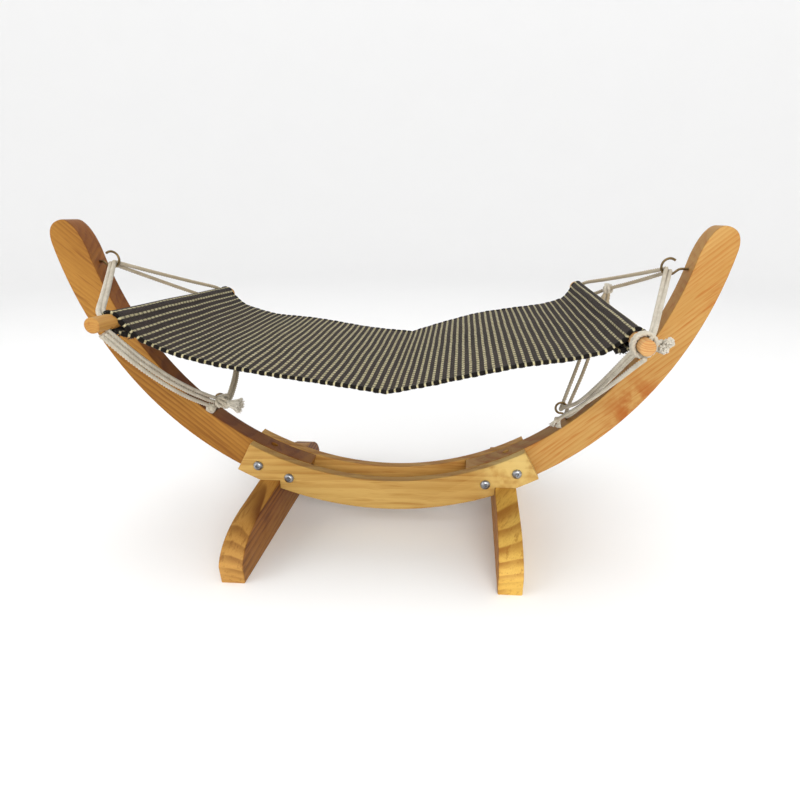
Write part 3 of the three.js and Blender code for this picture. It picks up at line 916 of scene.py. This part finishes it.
knot("lower_left", "stand", (1, 0.2, 0.3))
knot("tail_left", "stand", (1, 0.3, -0.2))
knot("tail_right", "stand", (1, 0.2, 0.1))
knot("rear_left", "hammock", (0.3, 1, 0.2))
knot("rear_right", "hammock", (0.3, 1, 0.2))
knot("strand_right", "hammock", (1, 0.6, -0.2), pale_cotton)
fray(
    "frayed_end_left", ((-185, -22, 148), (-168.5, -24, 145.5)), (4.4, 9.2), 190,
    "stand", "tassel_lower_left")
fray(
    "frayed_end_rear", ((262.5, 103, 267), (259.5, 105, 252)), (3.4, 7.8), 130,
    "hammock", "tassel_rear_right")
fray("frayed_tail_right_0", ((195, -13, 135), (190, -16, 129.5)), (1.9, 3.4), 40, "stand")
fray("frayed_tail_right_1", ((198.5, -13, 134), (197.5, -17, 128)), (1.9, 3.4), 40, "stand")

TUFT_AT = Vector((260.5, -157, 252))
TUFT_LOBES = ((Vector((2.6, -1, 2.6)), 4.6), (Vector((-1.8, -2, -3.2)), 4.2))
TUFT_STRANDS = 90


def front_tuft():
    """The rope end at the front right, teased out into two soft lobes over a small knot."""
    routes = [(loops(TUFT_AT + Vector((-4, 3, -1)), 3.4, (0, 1, 0), 1.4, 4.0), 2.0)]
    for lobe, size in TUFT_LOBES:
        for _ in range(TUFT_STRANDS):
            out = Vector([random.gauss(0, 1) for _ in range(3)]).normalized()
            start = TUFT_AT + lobe * 0.3 + out * 0.6
            end = TUFT_AT + lobe + out * size * random.uniform(0.85, 1.08)
            middle = start.lerp(end, 0.55) + anywhere(0.9)
            routes.append(([start, middle, end], random.uniform(0.7, 1.0)))
    rope_piece(
        "front_tuft_right", routes, "hammock", "tassel_front_right", fuzz=0.04,
        finish=pale_cotton)


TURN_STEPS = 80
TURN_FROM, TURN_SWEEP = -60, 760
TURN_AT, TURN_WIDTH = -155.5, 7.5


def rope_turn():
    """Two turns of rope wound round the right dowel at its front."""
    centre, along, hole, across = dowel_frame("right")
    radius = DOWEL_RADIUS + 0.2 + KNOT_ROPE
    points = []
    for step in range(TURN_STEPS + 1):
        share = step / TURN_STEPS
        angle = math.radians(TURN_FROM + TURN_SWEEP * share)
        slide = TURN_AT - TURN_WIDTH * share
        reach = radius + 1.2 * math.sin(math.pi * share)
        out = across * math.cos(angle) + hole * math.sin(angle)
        points.append(centre + along * slide + out * reach)
    rope_piece("wound_rope_right", [(points, KNOT_ROPE)], "hammock", "rope_turn_right")


front_tuft()
rope_turn()


# ---- finishes on the carried-over solids ----

# Tints of painted shade for the inner faces of the arms and one side face of each leg.
LEFT_ARM_SHADE_TINT = (0.6, 0.4, 0.22)
RIGHT_ARM_SHADE_TINT = (0.66, 0.58, 0.46)
LEG_SHADE_TINT = (0.66, 0.48, 0.32)
WOODS = {
    "arm_left": wood(
        "pine_arm_left", ((190, 134, 58), (164, 110, 38), (132, 76, 24)),
        (-0.42, 0.03, 0.05), (-1, 0.05, 0.86), 4.8, 2.4, 0.7,
        painted_face_shade=((0.7, 0, 0.7), LEFT_ARM_SHADE_TINT, 0.95)),
    "arm_right": wood(
        "pine_arm_right", ((218, 174, 102), (202, 150, 78), (186, 100, 26)),
        (0.4, 0.03, 0.0), (1, -0.04, 0.86), 4.6, 2.4, 0.5,
        painted_face_shade=((-0.7, 0, 0.7), RIGHT_ARM_SHADE_TINT, 0.8),
        knots=(((0.27, -0.015, 0.137), 0.012, 0.004),),
        patch=((0.288, -0.015, 0.15), 0.055, (180, 92, 20), 0.9)),
    # Painted sunlight: the pale patch at the right end of the front rail stands in for a sunlit spot.
    "rail_front": wood(
        "pine_rail_front", ((220, 180, 104), (200, 154, 80), (168, 110, 42)),
        (0.0, 0.03, 0.2), (1, 0.02, 0.01), 8.5, 1.2, 0.6,
        knots=(((-0.012, -0.036, 0.048), 0.009, 0.003), ((0.055, -0.036, 0.036), 0.008, 0.003)),
        patch=((0.15, -0.036, 0.075), 0.055, (246, 216, 136), 0.8)),
    "rail_rear": wood(
        "pine_rail_rear", ((226, 178, 100), (212, 156, 78), (172, 106, 40)),
        (0.0, 0.08, 0.2), (1, -0.02, 0.01), 7.0, 1.2, 0.6),
    "leg_left": wood(
        "pine_leg_left", ((206, 154, 80), (186, 130, 58), (118, 66, 22)),
        (-0.15, 0, -0.11), (0.06, 1, 0.03), 7.0, 2.0, 1.0, painted_face_shade=((1, 0, 0), LEG_SHADE_TINT, 0.9)),
    "leg_right": wood(
        "pine_leg_right", ((240, 194, 96), (224, 162, 62), (160, 94, 30)),
        (0.21, 0, -0.09), (0.3, 1, -0.05), 9.0, 2.0, 0.9, painted_face_shade=((-1, 0, 0), LEG_SHADE_TINT, 0.9)),
    "dowel_left": wood(
        "pine_dowel_left", ((206, 158, 86), (190, 136, 64), (158, 76, 28)),
        (-0.24, 0.0, 0.247), (-0.02, 1, -0.03), 2.2, 0.4),
    "dowel_right": wood(
        "pine_dowel_right", ((226, 186, 128), (212, 160, 92), (186, 98, 34)),
        (0.24, 0.0, 0.276), (-0.02, 1, 0.04), 2.0, 0.4),
}
HARDWARE = ("bolt", "washer", "nut", "leg_screw")
zinc = metal("zinc_plate", (186, 190, 196), (118, 122, 128), (228, 230, 234), 0.26)
bronze = metal("bronze_wire", (112, 92, 62), (64, 52, 38), (158, 132, 92), 0.24)


def finish_of(node):
    if node.startswith(HARDWARE):
        return zinc
    return bronze if node.startswith("hook") else WOODS.get(node)


def dress(piece, finish):
    if not piece.material_slots:
        piece.data.materials.append(finish)
    for slot in piece.material_slots:
        slot.material = finish


for node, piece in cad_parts.items():
    if finish_of(node):
        dress(piece, finish_of(node))


# ---- floor and light ----

FLOOR_FLAT, FLOOR_RIM, FLOOR_RISE = 3.2, 7.0, 4.5
FLOOR_RINGS, FLOOR_SIDES = 40, 96


def floor_finish():
    nodes = Nodes("floor")
    tone = nodes.noise(nodes.place(), 3.0, 2.0)
    base = nodes.mix(tone, (0.94, 0.94, 0.94), (0.96, 0.96, 0.96))
    return nodes.finish(base, 0.9, Specular_IOR_Level=0.1)


def add_floor():
    """A wide pale floor whose far rim sweeps up into a backdrop all round."""
    bm = bmesh.new()
    turns = [2 * math.pi * j / FLOOR_SIDES for j in range(FLOOR_SIDES)]
    rings = []
    for i in range(1, FLOOR_RINGS + 1):
        reach = FLOOR_RIM * i / FLOOR_RINGS
        rise = max(0.0, (reach - FLOOR_FLAT) / (FLOOR_RIM - FLOOR_FLAT))
        z = FLOOR_RISE * rise ** 2.2
        rings.append([bm.verts.new((reach * math.cos(t), reach * math.sin(t), z)) for t in turns])
    bridge(bm, rings)
    bm.faces.new(rings[0])
    add_object("floor", bm, floor_finish())


# Each light's name, place, aim, width (m), power (W) and tint.
LIGHTS = (
    ("key", (0.5, -1.9, 0.9), (0, 0, 0.15), 1.0, 21, (1.0, 0.97, 0.92)),
    ("fill", (-1.6, -1.2, 1.0), (0, 0, 0.15), 1.6, 10, (1, 1, 1)),
    ("top", (0, 0.4, 2.4), (0, 0, 0.1), 2.2, 12, (1, 1, 1)),
)


def add_light(name, at, aim, size, power, tint):
    data = bpy.data.lights.new(name, "AREA")
    data.shape = "DISK"
    data.size = size
    data.energy = power
    data.color = tint
    lamp = bpy.data.objects.new(name, data)
    lamp.location = at
    lamp.rotation_euler = (Vector(aim) - Vector(at)).to_track_quat("-Z", "Y").to_euler()
    bpy.context.scene.collection.objects.link(lamp)


SKY_FADE = {"From Min": 0.25, "From Max": 0.7, "To Min": 0.97, "To Max": 0.5}
SKY_STRENGTH = 1.55


def add_sky():
    """A pale surround that is darker overhead."""
    world = bpy.data.worlds.new("studio")
    world.use_nodes = True
    sky = world.node_tree
    high = sky.nodes.new("ShaderNodeSeparateXYZ")
    fade = sky.nodes.new("ShaderNodeMapRange")
    for name, value in SKY_FADE.items():
        fade.inputs[name].default_value = value
    surround = sky.nodes["Background"].inputs
    surround["Strength"].default_value = SKY_STRENGTH
    sky.links.new(sky.nodes.new("ShaderNodeTexCoord").outputs["Generated"], high.inputs[0])
    sky.links.new(high.outputs["Z"], fade.inputs["Value"])
    sky.links.new(fade.outputs[0], surround["Color"])
    bpy.context.scene.world = world


add_floor()
for light in LIGHTS:
    add_light(*light)
add_sky()
bpy.context.scene.view_settings.view_transform = "Standard"
